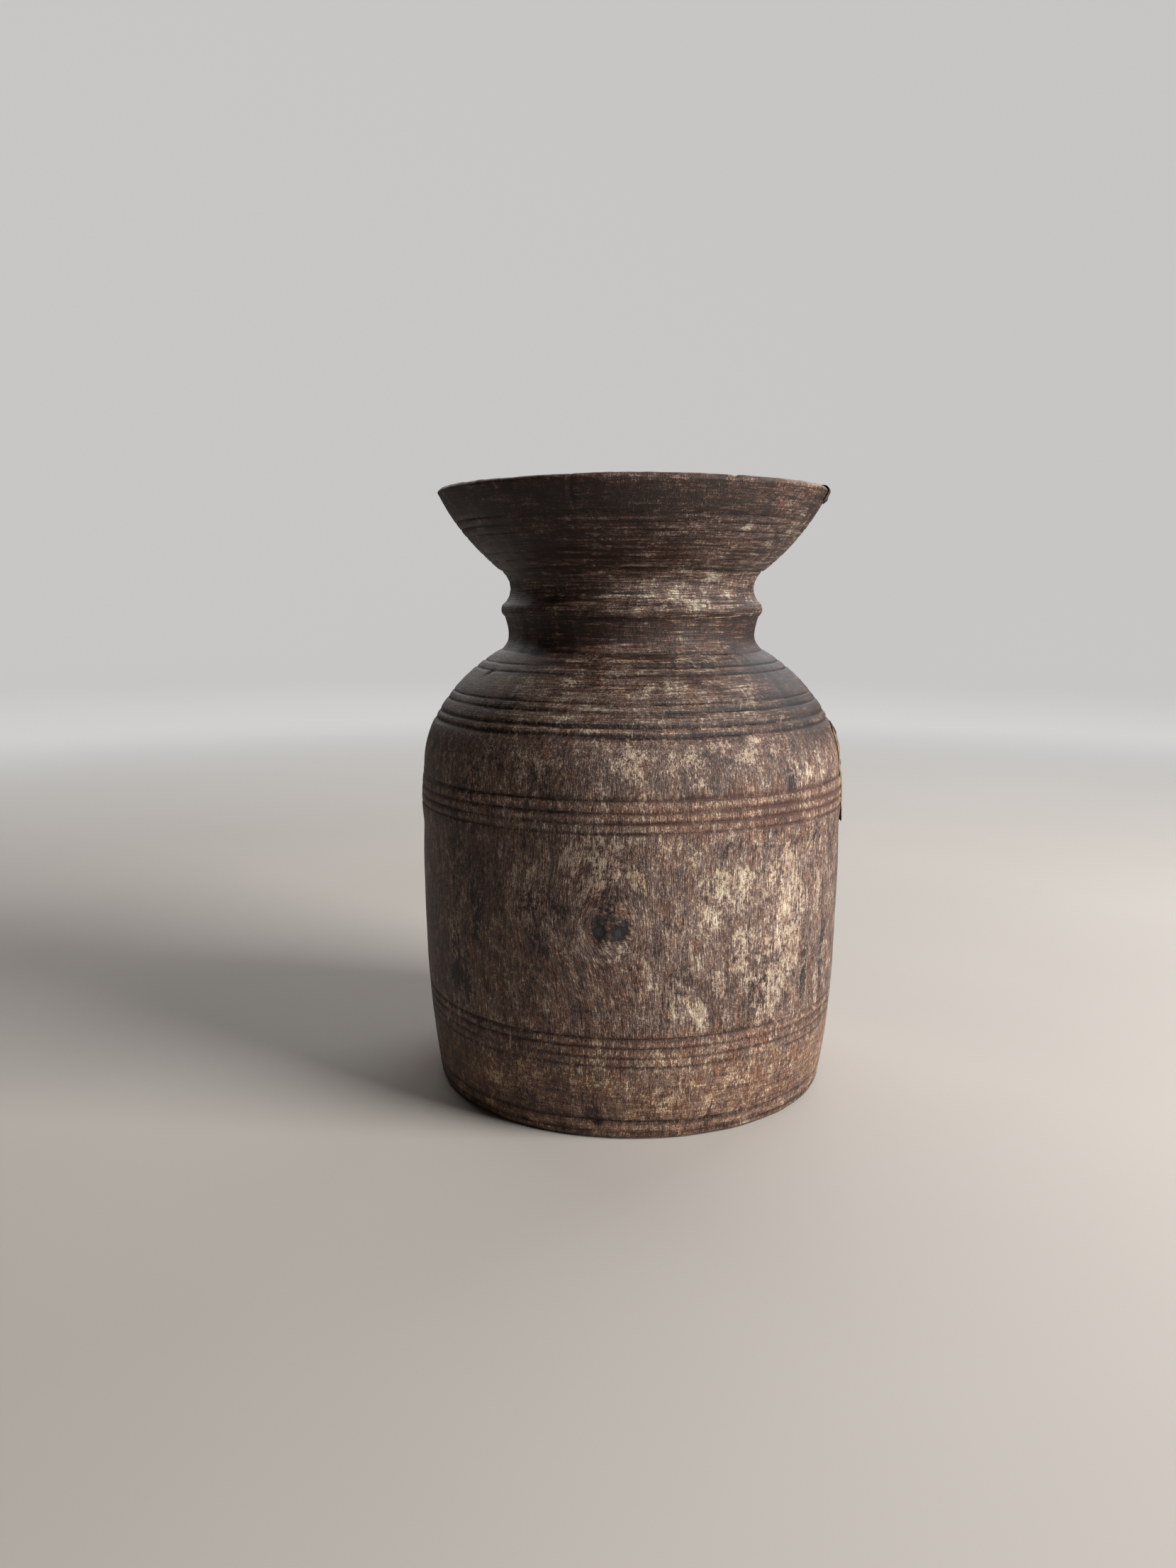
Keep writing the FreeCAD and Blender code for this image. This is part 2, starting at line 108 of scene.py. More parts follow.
# Patches of the outer wall where the wood is worn pale, grimy or reddish: azimuth, height, half width in degrees,
# half height in millimetres, strength
WORN = (
    (25, 97, 8, 9, 0.60), (44, 86, 4.6, 21, 1.6), (37, 104, 9, 3.5, 0.55), (39, 54, 4, 10, 0.65),
    (57, 96, 2, 13, 0.85), (58, 52, 1.8, 10, 0.85), (31, 72, 9, 13, 0.45), (12, 52, 4, 4, 0.35),
    (17, 52, 1.6, 6, 0.85), (22, 62, 2.4, 6, 0.70), (28, 69, 4, 5, 0.60), (17.5, 101, 1.4, 5, 0.75),
    (-6, 111, 5, 9, 0.80), (-13, 112, 4, 8, 0.75),
    (-9, 97, 4.5, 8, 0.65), (1.5, 106, 1.1, 4, 0.80), (0, 147, 2.8, 9, 0.80), (25, 149, 14, 6, 0.50),
    (38, 151, 5, 4, 0.45), (45, 146, 2.6, 8, 0.55), (54, 142, 5, 7, 0.40), (5, 147, 18, 7, 0.25),
    (-28, 142, 4, 6, 0.40), (-33, 157, 4.5, 5, 0.40), (-22, 173, 6, 4, 0.45), (-46, 176, 8, 5, 0.35),
    (4, 172, 6, 3, 0.35), (40, 169, 4, 6, 0.45), (45, 160, 4, 6, 0.40), (33, 164, 5, 2, 0.45),
    (25, 207, 10, 6, 0.38), (32, 205, 4, 4, 0.72), (35, 212, 8, 3, 0.40), (0, 206, 14, 4, 0.22),
    (60, 209, 20, 5, 0.30), (40, 194, 2, 2, 0.60), (-12, 227, 5, 2.8, 0.75), (5, 227, 3.2, 4, 0.80),
    (-30, 227, 3, 2, 0.35), (38, 232, 1.6, 3, 0.80), (12, 230, 7, 0.9, 0.60), (29, 230, 8, 0.9, 0.55),
    (66, 231, 10, 1.4, 0.50), (20, 235, 6, 3.5, 0.35), (55, 213, 5, 4, 0.45), (5, 18, 10, 6, 0.40),
    (13, 23, 5, 3, 0.35), (29, 22, 6, 4, 0.35), (47, 20, 2.6, 10, 0.40), (-35, 25, 12, 9, 0.30),
    (-12, 26, 6, 8, 0.30), (100, 90, 7, 24, 0.60), (128, 60, 12, 16, 0.45), (150, 120, 6, 20, 0.50),
    (172, 84, 9, 26, 0.55), (-160, 146, 14, 7, 0.55), (-135, 96, 6, 22, 0.50), (-118, 56, 9, 12, 0.45),
    (-95, 112, 5, 18, 0.45), (110, 170, 12, 6, 0.45), (-170, 206, 16, 5, 0.55), (140, 228, 8, 3, 0.50),
    (-110, 230, 9, 3, 0.45), (155, 22, 14, 7, 0.35), (-140, 24, 10, 6, 0.35),
)
GRIME = (
    (-51, 62, 3, 20, 0.75), (-46, 55, 2, 14, 0.60), (-50, 112, 4, 30, 0.45), (-42, 85, 2.5, 15, 0.60),
    (-22, 93, 7, 8, 0.50), (-20, 80, 4, 8, 0.45), (34, 60, 3.5, 4.5, 0.75), (33, 53, 3, 4, 0.60),
    (50.5, 62, 1.8, 12, 0.70), (61, 62, 2.2, 14, 0.65), (44, 136, 2.6, 6, 0.80), (3, 66, 4, 6, 0.40),
    (11, 62, 4, 8, 0.35), (-26, 13, 5, 4, 0.55), (-10, 12, 4, 4, 0.50), (-22, 143, 3, 5, 0.45),
    (-45, 135, 6, 10, 0.45), (-38, 166, 6, 4, 0.45), (-15, 183, 5, 1.5, 0.50), (22, 181, 12, 1.6, 0.55),
    (63, 181, 12, 7, 0.40), (52, 118, 3, 9, 0.40), (34, 115, 4, 6, 0.35), (14, 86, 8, 3, 0.35),
    (96, 60, 5, 18, 0.55), (120, 110, 5, 22, 0.50), (160, 150, 10, 8, 0.45), (-150, 70, 7, 22, 0.55),
    (-105, 80, 6, 26, 0.60), (-128, 140, 9, 8, 0.50), (180, 40, 12, 9, 0.40), (-170, 112, 5, 14, 0.45),
)
RUSTY = (
    (35, 127, 45, 9, 0.9), (-60, 127, 30, 6, 0.5), (15, 38, 50, 8, 0.5), (-10, 191, 60, 5, 0.7),
    (62, 190, 30, 7, 0.8), (20, 247, 70, 2, 0.9), (75, 134, 14, 30, 0.4), (-20, 60, 24, 24, 0.35),
    (150, 127, 50, 9, 0.7), (-150, 192, 70, 6, 0.6), (160, 40, 50, 8, 0.5), (-40, 225, 60, 14, 0.4),
)

# How much lighter or darker the wood is, by height. The dark values from 180 to 200 are painted shade in the hollow
# under the ridge, and the dark values above 217 are partly painted shade on the downward-facing mouth.
TONE_AND_SHADE_BY_HEIGHT = (
    (0, -0.05), (8, 0.0), (11, 0.04), (28, 0.02), (36, -0.04), (60, -0.04), (110, -0.03), (150, -0.04),
    (156, -0.07), (172, -0.07), (180, -0.16), (186, -0.25), (196, -0.34), (200, -0.20), (205, -0.14),
    (214, -0.16), (217, -0.22), (222, -0.27), (232, -0.30), (240, -0.36), (250, -0.36),
)
# How far the finish runs round the pot rather than along the grain, by height
TURNING_BY_HEIGHT = (
    (0, 0.35), (24, 0.35), (30, 0.0), (148, 0.0), (160, 0.55), (182, 0.70), (188, 1.0), (214, 1.0),
    (224, 0.78), (238, 0.60), (250, 0.52),
)
# Edges that hands have rubbed pale, on the ridge and above the foot: height, half width, strength
RUBBED_EDGES = ((201.6, 1.0, 0.7), (5.7, 1.0, 0.8))
# Lines nearer together than this have a rubbed edge between them, with this half width and strength
CLOSE_LINES = 5.0
BETWEEN_LINES = (0.9, 0.5)
# Length of the paler band below the top of the lip
LIP_BAND = 3.3
# Painted warm bounce light from below: the wood is warmer in colour below this height, fully so this much further
# down
WARM_BOUNCE_HEIGHT, WARM_BOUNCE_FADE = 44, 22

# The knot: azimuth, height, half width and half height of the wood that swells round it. Its two dark eyes and
# the ring round both are (across and up from its middle, half width, half height).
KNOT_AZIMUTH, KNOT_HEIGHT = -4.1, 85.0
KNOT_WIDE, KNOT_TALL = 7.5, 9.0
KNOT_EYES = ((-4.7, -0.9, 2.2, 2.8), (2.4, -1.1, 2.3, 2.8))
KNOT_RING = (-1.0, 0.7, 7.4, 5.0)
# Where the fibres lean: azimuth, height, spread in degrees, spread in millimetres, and their slope
LEAN_AZIMUTH, LEAN_HEIGHT = -8, 66
LEAN_WIDE, LEAN_TALL = 26, 34
LEAN_SLOPE = 0.20

# Dents, chips and gouges: azimuth, height, half width and half height in millimetres, depth, lean in degrees
DENTS = (
    (59, 226, 10.0, 1.3, 0.55, -38), (-58, 176, 2.2, 1.2, 0.60, 20), (-9, 6.8, 1.5, 1.4, 1.60, 0),
    (28, 248.6, 1.6, 2.4, 0.80, 0), (29, 204, 2.4, 1.5, 0.35, 0), (44, 136, 3.4, 5.0, 0.35, 10),
    (-19, 200.6, 2.0, 1.4, 0.40, 0), (52, 201, 3.0, 1.3, 0.45, 0), (8, 5.0, 5.0, 1.3, 0.45, 0),
    (-30, 4.2, 4.0, 1.5, 0.50, 0), (36, 5.6, 3.0, 1.2, 0.40, 0), (140, 201, 4.0, 1.5, 0.55, 0),
    (-150, 248.8, 3.0, 2.2, 0.80, 0), (110, 5.0, 5.0, 1.8, 0.60, 0), (-120, 126, 4.0, 2.6, 0.40, 30),
    (165, 92, 2.2, 7.0, 0.40, 8), (-98, 160, 5.0, 1.6, 0.45, -15), (12, 103, 1.2, 4.0, 0.25, -20),
)
# Drying cracks that follow the grain: azimuth, lowest and highest point, half width, depth. A crack's azimuth
# also picks its wander.
CRACKS = (
    (-16.0, 237.0, 250.5, 0.55, 0.70), (73.0, 228.0, 250.5, 0.70, 0.90), (103.0, 2.0, 26.0, 0.60, 0.90),
    (-71.0, 2.0, 19.0, 0.60, 0.80), (-141.0, 150.0, 186.0, 0.60, 0.70), (176.0, 222.0, 250.5, 0.65, 1.00),
    (21.0, 2.0, 15.0, 0.50, 0.50),
)


def smooth(x):
    """0 below 0, 1 above 1, and an easy curve between."""
    x = np.clip(x, 0, 1)
    return x * x * (3 - 2 * x)


def turn_difference(a, b):
    """Difference of two azimuths, in -180..180 degrees."""
    return (a - b + 180) % 360 - 180


class Relief:
    """Smooth random numbers over azimuth and wall length, with even features of a given size."""

    LENGTH = 760.0
    AROUND = 560.0

    def __init__(self, seed, wide, tall):
        rows, columns = 1024, 1024
        white = np.random.default_rng(seed).standard_normal((rows, columns))
        along = np.fft.fftfreq(rows, self.LENGTH / rows)[:, None]
        across = np.fft.fftfreq(columns, self.AROUND / columns)[None, :]
        keep = np.exp(-((along * tall) ** 2 + (across * wide) ** 2) * 2)
        field = np.fft.ifft2(np.fft.fft2(white) * keep).real
        self.field = field / field.std()

    def at(self, azimuth, length):
        """The field at azimuths in degrees and lengths in millimetres."""
        rows, columns = self.field.shape
        x = (azimuth / 360 % 1) * columns
        y = (length / self.LENGTH % 1) * rows
        x0, y0 = np.floor(x).astype(int), np.floor(y).astype(int)
        u, v = x - x0, y - y0
        x0, y0 = x0 % columns, y0 % rows
        x1, y1 = (x0 + 1) % columns, (y0 + 1) % rows
        top = self.field[y0, x0] * (1 - u) + self.field[y0, x1] * u
        low = self.field[y1, x0] * (1 - u) + self.field[y1, x1] * u
        return top * (1 - v) + low * v


# ----- The half section, resampled -----
def arc_points(start, end, radius, step=0.2):
    """Evenly spaced points from start to just before end, along a line or the short arc between them."""
    start, end = np.array(start, float), np.array(end, float)
    chord = end - start
    span = np.hypot(*chord)
    count = max(2, int(span / step))
    if radius is None:
        return start + chord * (np.arange(count) / count)[:, None]
    left = np.array((-chord[1], chord[0])) / span
    centre = (start + end) / 2 + left * math.sqrt(radius ** 2 - span ** 2 / 4) * math.copysign(1, radius)
    from_angle = math.atan2(*(start - centre)[::-1])
    sweep = 2 * math.asin(span / 2 / abs(radius)) * math.copysign(1, radius)
    angles = from_angle + sweep * np.arange(count) / count
    return centre + abs(radius) * np.stack((np.cos(angles), np.sin(angles)), 1)


def section_path():
    """The whole half section as a dense path of points, and the path length at each."""
    stations = UNDERSIDE + OUTER_WALL + INSIDE
    pieces = [arc_points(a[:2], b[:2], a[2]) for a, b in zip(stations, stations[1:])]
    path = np.concatenate(pieces + [np.array([stations[-1][:2]], float)])
    steps = np.hypot(*np.diff(path, axis=0).T)
    length = np.concatenate(([0], np.cumsum(steps)))
    return path, length


PATH, PATH_LENGTH = section_path()
LIP_INDEX = int(np.argmax(PATH[:, 1]))
LIP_LENGTH = PATH_LENGTH[LIP_INDEX]
FOOT_RADIUS = UNDERSIDE[-1][0]
OUTER_START = PATH_LENGTH[int(np.argmin(np.hypot(PATH[:, 0] - FOOT_RADIUS, PATH[:, 1])))]


def section_at(length):
    """Radius, height and outward normal of the section at path lengths."""
    radius = np.interp(length, PATH_LENGTH, PATH[:, 0])
    height = np.interp(length, PATH_LENGTH, PATH[:, 1])
    reach = 0.5
    ahead = np.minimum(length + reach, PATH_LENGTH[-1])
    behind = np.maximum(length - reach, 0)
    dr = np.interp(ahead, PATH_LENGTH, PATH[:, 0]) - np.interp(behind, PATH_LENGTH, PATH[:, 0])
    dz = np.interp(ahead, PATH_LENGTH, PATH[:, 1]) - np.interp(behind, PATH_LENGTH, PATH[:, 1])
    size = np.hypot(dr, dz)
    return radius, height, dz / size, -dr / size


def outer_length(height):
    """Path length of a height on the outer wall."""
    foot = int(np.searchsorted(PATH_LENGTH, OUTER_START))
    return float(np.interp(height, PATH[foot:LIP_INDEX + 1, 1], PATH_LENGTH[foot:LIP_INDEX + 1]))


LINE_LENGTHS = np.array([outer_length(line[0]) for line in TURNED_LINES])


def row_lengths():
    """Path lengths of the mesh rows, close together where the wall has detail."""
    probe = np.arange(0, PATH_LENGTH[-1], PROBE_STEP)
    outside = (probe > OUTER_START - 2) & (probe < LIP_LENGTH + 5)
    step = np.where(outside, PLAIN_STEP, HIDDEN_STEP)
    for length, (_, half_width, _, _) in zip(LINE_LENGTHS, TURNED_LINES):
        near = smooth(1.4 - np.abs(probe - length) / (half_width * 1.9))
        step = step * (1 - near) + FINE_STEP * half_width / USUAL_HALF_WIDTH * near
    detailed = (
        (outer_length(RIDGE_HEIGHT), 4.5, 0.7), (LIP_LENGTH, 6, 0.7), (OUTER_START, 5, 0.8),
        (outer_length(KNOT_HEIGHT), 8, 1.2), (outer_length(NECK_HEIGHT), 4, 1.3),
    )
    for length, reach, fine in detailed:
        near = smooth(1.5 - np.abs(probe - length) / reach)
        step = np.minimum(step, step * (1 - near) + fine * near)
    ticks = np.cumsum(PROBE_STEP / step)
    count = int(ticks[-1])
    return np.interp(np.arange(count + 1) * ticks[-1] / count, ticks, probe)


# ----- Mesh helpers -----
def new_object(name, points, faces, material):
    """A smooth-shaded mesh object in the scene."""
    mesh = bpy.data.meshes.new(name)
    mesh.from_pydata([tuple(p) for p in points], [], faces)
    mesh.validate()
    mesh.polygons.foreach_set("use_smooth", [True] * len(mesh.polygons))
    mesh.materials.append(material)
    piece = bpy.data.objects.new(name, mesh)
    bpy.context.scene.collection.objects.link(piece)
    return piece


def write_float(piece, name, values):
    """Store a number at each point, for the material to read."""
    piece.data.attributes.new(name, "FLOAT", "POINT").data.foreach_set("value", values.astype(np.float32).ravel())


def write_vector(piece, name, values):
    """Store a place at each point, for the material to read."""
    layer = piece.data.attributes.new(name, "FLOAT_VECTOR", "POINT")
    layer.data.foreach_set("vector", values.astype(np.float32).ravel())


def on_wall(azimuth, radius, height):
    """Points in metres from azimuths in degrees, radii and heights in millimetres."""
    angle = np.radians(azimuth)
    return np.stack((radius * np.sin(angle), -radius * np.cos(angle), height + 0 * angle), -1) * MM


def blotches(patches, azimuth, height):
    """The strongest of a list of soft-edged patches, at each point."""
    total = np.zeros(np.broadcast(azimuth, height).shape)
    for centre, middle, wide, tall, strength in patches:
        reach = np.hypot(turn_difference(azimuth, centre) / wide, (height - middle) / tall)
        total = np.maximum(total, strength * smooth(1.45 - reach))
    return total


# ----- The pot -----
def line_relief(azimuth, length):
    """How deep each point lies in a turned line, and how dark it is there."""
    depth = np.zeros(azimuth.shape)
    dark = np.zeros(azimuth.shape)
    wobble = Relief(11, 60, 60).at(azimuth, length) * 0.16
    worn_away = Relief(12, 22, 5).at(azimuth, length)
    for centre, line in zip(LINE_LENGTHS, TURNED_LINES):
        _, half_width, full_depth, darkness = line
        off = np.abs(length - centre - wobble) / half_width
        cut = smooth(1.15 - off)
        kept = np.clip(0.85 + 0.22 * worn_away, 0.25, 1.15)
        depth = np.maximum(depth, full_depth * cut * kept)
        dark = np.maximum(dark, darkness * smooth((1.15 - off) / 0.5) * np.clip(kept, 0.35, 1))
    return depth, dark


def knot_offset(azimuth, height):
    """Millimetres across and up from the middle of the knot."""
    return np.radians(turn_difference(azimuth, KNOT_AZIMUTH)) * BELLY_RADIUS, height - KNOT_HEIGHT


def broad_painted_light_and_shade(azimuth, height):
    """Broad painted light and shade: painted shade on the left of the mouth and on the right shoulder, and a
    painted lit patch on the right of the mouth.
    """
    def side(centre, half_width, level):
        return smooth(level - np.abs(turn_difference(azimuth, centre)) / half_width)

    shade_left_of_mouth = side(-50, 70, 1.2) * smooth((height - 170) / 50)
    shade_right_shoulder = side(66, 28, 1.3) * smooth(1.4 - np.abs(height - 170) / 22)
    light_right_of_mouth = side(66, 22, 1.3) * smooth((height - 210) / 8)
    return -0.10 * shade_left_of_mouth - 0.34 * shade_right_shoulder + 0.11 * light_right_of_mouth


def dent_relief(azimuth, height, radius):
    """How deep each point lies in a dent, a chip or a gouge."""
    total = np.zeros(azimuth.shape)
    rough = Relief(15, 1.6, 1.6).at(azimuth, height)
    for centre, middle, wide, tall, depth, lean in DENTS:
        across = np.radians(turn_difference(azimuth, centre)) * radius
        up = height - middle
        c, s = math.cos(math.radians(lean)), math.sin(math.radians(lean))
        reach = np.hypot((across * c + up * s) / wide, (up * c - across * s) / tall)
        total = np.maximum(total, depth * smooth(1.25 - reach + 0.18 * rough))
    return total


def crack_relief(azimuth, height, radius):
    """How deep each point lies in a drying crack."""
    total = np.zeros(azimuth.shape)
    for centre, low, high, half_width, depth in CRACKS:
        wander = Relief(int(500 + centre), 30, 9).at(azimuth * 0, height) * 0.5
        across = np.radians(turn_difference(azimuth, centre)) * radius - wander
        ends = smooth((height - low) / 5 + 0.2) * smooth((high - height) / 5 + 0.2)
        total = np.maximum(total, depth * ends * smooth(1.3 - np.abs(across) / half_width))
    return total


def grain_position(points, azimuth, height, outside):
    """Where each point lies in the straight-grained wood before the knot and the lean bent its fibres."""
    across, up = knot_offset(azimuth, height)
    reach = np.hypot(across / KNOT_WIDE, up / KNOT_TALL)
    flow = -across * np.minimum(0.7, 0.8 / reach ** 2) * smooth(3.4 - reach * 0.8)
    sideways = turn_difference(azimuth, LEAN_AZIMUTH) / LEAN_WIDE
    upward = (height - LEAN_HEIGHT) / LEAN_TALL
    lean = LEAN_SLOPE * np.exp(-sideways ** 2 - upward ** 2) * (height - LEAN_HEIGHT)
    angle = np.radians(azimuth) + (flow + lean) * outside / BELLY_RADIUS
    radius = np.hypot(points[..., 0], points[..., 1])
    return np.stack((radius * np.sin(angle), -radius * np.cos(angle), points[..., 2]), -1)


def rubbed_edges(height):
    """How far each height is rubbed pale: the ridge, the edge of the foot, and the crests between close lines."""
    edges = list(RUBBED_EDGES)
    for below, above in zip(TURNED_LINES, TURNED_LINES[1:]):
        if above[0] - below[0] < CLOSE_LINES:
            edges.append(((below[0] + above[0]) / 2, *BETWEEN_LINES))
    rubbed = np.zeros(height.shape)
    for middle, half_width, strength in edges:
        rubbed = np.maximum(rubbed, strength * smooth(1.3 - np.abs(height - middle) / half_width))
    return rubbed


def make_pot(material):
    """The turned body as one closed mesh, with the fields that its material reads."""
    lengths = row_lengths()
    azimuth, length = np.meshgrid(np.arange(COLUMNS) * 360 / COLUMNS, lengths)

    def over_grid(values):
        return np.broadcast_to(values[:, None], azimuth.shape)

    radius, height, normal_r, normal_z = (over_grid(values) for values in section_at(lengths))
    outside = over_grid(smooth((lengths - OUTER_START) / 2) * smooth((LIP_LENGTH + 1.5 - lengths) / 1.5))
    inside = over_grid(smooth((lengths - LIP_LENGTH - 1) / 3))
    standing = over_grid(smooth((lengths - OUTER_START) / 1.5))
    shoulder = smooth((height - 150) / 8) * outside

    cut, dark_line = line_relief(azimuth, length)
    dents = dent_relief(azimuth, height, radius) * outside
    cracks = crack_relief(azimuth, height, radius) * outside
    across, up = knot_offset(azimuth, height)
    knot = np.hypot(across / KNOT_WIDE, up / (KNOT_TALL * 0.8))
    relief = 0.35 * smooth(1.15 - knot) * outside
    for centre_across, centre_up, eye_wide, eye_tall in KNOT_EYES:
        eye = np.hypot((across - centre_across) / eye_wide, (up - centre_up) / eye_tall)
        relief -= 0.40 * smooth(1.25 - eye) * outside
    for amount, seed, wide, tall, where in (
        (0.16, 1, 90, 70, standing),  # out of round
        (0.05, 2, 9, 16, standing),  # hollows worn by hands
        (0.035, 3, 3.2, 18, outside),  # raised grain
        (0.05, 4, 60, 1.7, shoulder),  # turning marks outside
        (0.07, 5, 90, 2.6, inside),  # turning marks inside
    ):
        relief += amount * Relief(seed, wide, tall).at(azimuth, length) * where
    under_sheet = sheet_cover(azimuth, height) * outside
    relief = relief * (1 - under_sheet) - 0.1 * under_sheet
    relief -= cut * (1 - under_sheet * 0.6) + dents + cracks
    points = on_wall(azimuth, radius + relief * normal_r, height + relief * normal_z)

    rows = len(lengths)
    faces = []
    for row in range(rows - 1):
        low, high = row * COLUMNS, (row + 1) * COLUMNS
        for column in range(COLUMNS):
            following = (column + 1) % COLUMNS
            faces.append((low + column, low + following, high + following, high + column))
    faces.append(tuple(range(COLUMNS - 1, -1, -1)))
    faces.append(tuple(range((rows - 1) * COLUMNS, rows * COLUMNS)))
    pot = new_object("turned_body_wood", points.reshape(-1, 3), faces, material)

    ragged = Relief(7, 4, 40).at(azimuth, length) + 0.6 * Relief(8, 30, 40).at(azimuth, length)
    below_lip = LIP_LENGTH - length
    lip = smooth((LIP_BAND + 0.7 * ragged - below_lip) / 0.6) * smooth((below_lip - 0.5) / 0.5)
    # The wood's tone, with painted shade in the hollow under the ridge and on the mouth, and broad painted light
    # and shade round the mouth and the right shoulder
    tone_and_painted_light = np.interp(height, *np.array(TONE_AND_SHADE_BY_HEIGHT).T) + broad_painted_light_and_shade(azimuth, height) * outside
    fields = {
        "worn": blotches(WORN, azimuth, height) * outside,
        "grime": blotches(GRIME, azimuth, height) * outside,
        "rusty": blotches(RUSTY, azimuth, height) * outside,
        "line": np.maximum(dark_line * outside * (1 - under_sheet), smooth(cracks * 2.2)),
        "crest": rubbed_edges(height) * outside,
        "dent": np.clip(dents / 0.5, 0, 1),
        "inside": inside,
        "lip": lip * outside,
        "halo": smooth(1.9 - knot) * outside,
        "tone_and_painted_light": tone_and_painted_light,
        "turning": np.interp(height, *np.array(TURNING_BY_HEIGHT).T),
        # Painted warm bounce light from below, on the low part of the wall
        "low": smooth((WARM_BOUNCE_HEIGHT - height) / WARM_BOUNCE_FADE) * outside,
    }
    for name, values in fields.items():
        write_float(pot, name, values)
    write_vector(pot, "grain", grain_position(points, azimuth, height, outside) / MM)
    write_vector(pot, "knot", np.stack((across, up, 0 * up), -1))
    return pot


# ----- The nailed sheet, its tacks, the rim clip and its pin -----
SHEET_AZIMUTHS = (77.0, 118.0)
SHEET_HEIGHTS = (112.5, 153.5)
SHEET_THICK = 0.48
# Where the tacks sit: the azimuths of three columns, then each row's height and the columns that it fills
TACK_AZIMUTHS = (84.5, 97.5, 110.5)
TACK_ROWS = ((116.5, (0, 1, 2)), (136.5, (0, 2)), (150.0, (0, 1, 2)))
TACK_LIFT = 0.5
CLIP_AZIMUTHS = (75.0, 88.0)
CLIP_LEG_HEIGHT = 244.2
CLIP_INNER_EXTRA = 1.2
CLIP_THICK = 0.45
PIN_HEIGHT = 245.4
PIN_LIFT = 0.5
# Sizes of a nail: radius of its head, radius of the dome's curve, radius of its shank, depth in the wood
TACK_SIZES = (2.0, 4.4, 0.8, 7.0)
PIN_SIZES = (1.1, 1.5, 0.5, 3.0)
NAIL_SIDES = 28


def sheet_cover(azimuth, height):
    """1 where the repair sheet covers the wall."""
    sides = smooth((azimuth - SHEET_AZIMUTHS[0]) / 1.5 + 0.8) * smooth((SHEET_AZIMUTHS[1] - azimuth) / 1.5 + 0.8)
    ends = smooth((height - SHEET_HEIGHTS[0]) / 2 + 0.8) * smooth((SHEET_HEIGHTS[1] - height) / 2 + 0.8)
    return sides * ends


def plate(name, position, normal, thickness, material):
    """A closed thin plate from a grid of points, its outward directions and its thickness."""
    rows, columns = position.shape[:2]
    back = position.reshape(-1, 3)
    front = (position + normal * (thickness * MM)).reshape(-1, 3)
    count = rows * columns
    index = np.arange(count).reshape(rows, columns)
    faces = []
    for row in range(rows - 1):
        for column in range(columns - 1):
            a, b = index[row, column], index[row, column + 1]
            c, d = index[row + 1, column + 1], index[row + 1, column]
            faces.append((int(a), int(d), int(c), int(b)))
            faces.append((int(a + count), int(b + count), int(c + count), int(d + count)))
    border = list(index[0, :-1]) + list(index[:-1, -1]) + list(index[-1, :0:-1]) + list(index[:0:-1, 0])
    for start, end in zip(border, border[1:] + border[:1]):
        faces.append((int(start), int(end), int(end + count), int(start + count)))
    return new_object(name, np.concatenate((back, front)), faces, material)


def wall_plate(name, azimuth, length, lift, thickness, material):
    """A thin closed plate that follows the wall, lifted off it."""
    radius, height, normal_r, normal_z = section_at(length)
    points = on_wall(azimuth, radius + lift * normal_r, height + lift * normal_z)
    angle = np.radians(azimuth)
    normal = np.stack((normal_r * np.sin(angle), -normal_r * np.cos(angle), normal_z), -1)
    return plate(name, points, normal, thickness, material)


def between(ends, share):
    """The value a share of the way from the first end to the second."""
    return ends[0] + share * (ends[1] - ends[0])


def write_edge(piece, bright):
    """Store how far a plate's points are rubbed, the same on its back and front."""
    write_float(piece, "edge", np.concatenate([bright.ravel()] * 2))


def make_sheet(material):
    """The repair sheet: uneven cut edges, shallow buckles, pressed down round its tacks."""
    columns, rows = 120, 110
    across, along = np.meshgrid(np.linspace(0, 1, columns), np.linspace(0, 1, rows))
    edge = Relief(21, 16, 14)
    left = 0.012 + 0.010 * edge.at(0 * along, along * 90)
    right = 0.985 + 0.008 * edge.at(0 * along + 90, along * 90)
    bottom = 0.012 + 0.009 * edge.at(across * 60, 0 * across + 200)
    top = 0.988 + 0.007 * edge.at(across * 60, 0 * across + 300)
    azimuth = between(SHEET_AZIMUTHS, between((left, right), across))
    length = between([outer_length(height) for height in SHEET_HEIGHTS], between((bottom, top), along))
    height = section_at(length)[1]
    lift = 0.05 + 0.06 * Relief(22, 16, 16).at(azimuth, length) + 0.03 * Relief(23, 4, 4).at(azimuth, length)
    lift += 0.50 * smooth(1 - across / 0.12) * smooth(1 - along / 0.22)
    lift += 0.20 * smooth((across - 0.95) / 0.05) + 0.12 * smooth((along - 0.95) / 0.05)
    for tack_azimuth, tack_height in tack_places():
        gap = np.hypot((azimuth - tack_azimuth) * 1.55, height - tack_height)
        lift = lift * (1 - smooth(1.5 - gap / 4.5))
    lift = np.maximum(lift, 0.02)
    sheet = wall_plate("side_patch_sheet", azimuth, length, lift, SHEET_THICK, material)
    bevel = sheet.modifiers.new("edge", "BEVEL")
    bevel.width = 0.12 * MM
    bevel.segments = 2
    bevel.limit_method = "ANGLE"
    edges = np.minimum.reduce([across, 1 - across, along, 1 - along])
    bright = (1 - smooth(edges / 0.016)) * smooth(along / 0.14) * smooth((1 - along) / 0.09)
    write_edge(sheet, bright)
    return sheet


def tack_places():
    """The azimuth and height of each tack."""
    return [(TACK_AZIMUTHS[column], row) for row, columns in TACK_ROWS for column in columns]


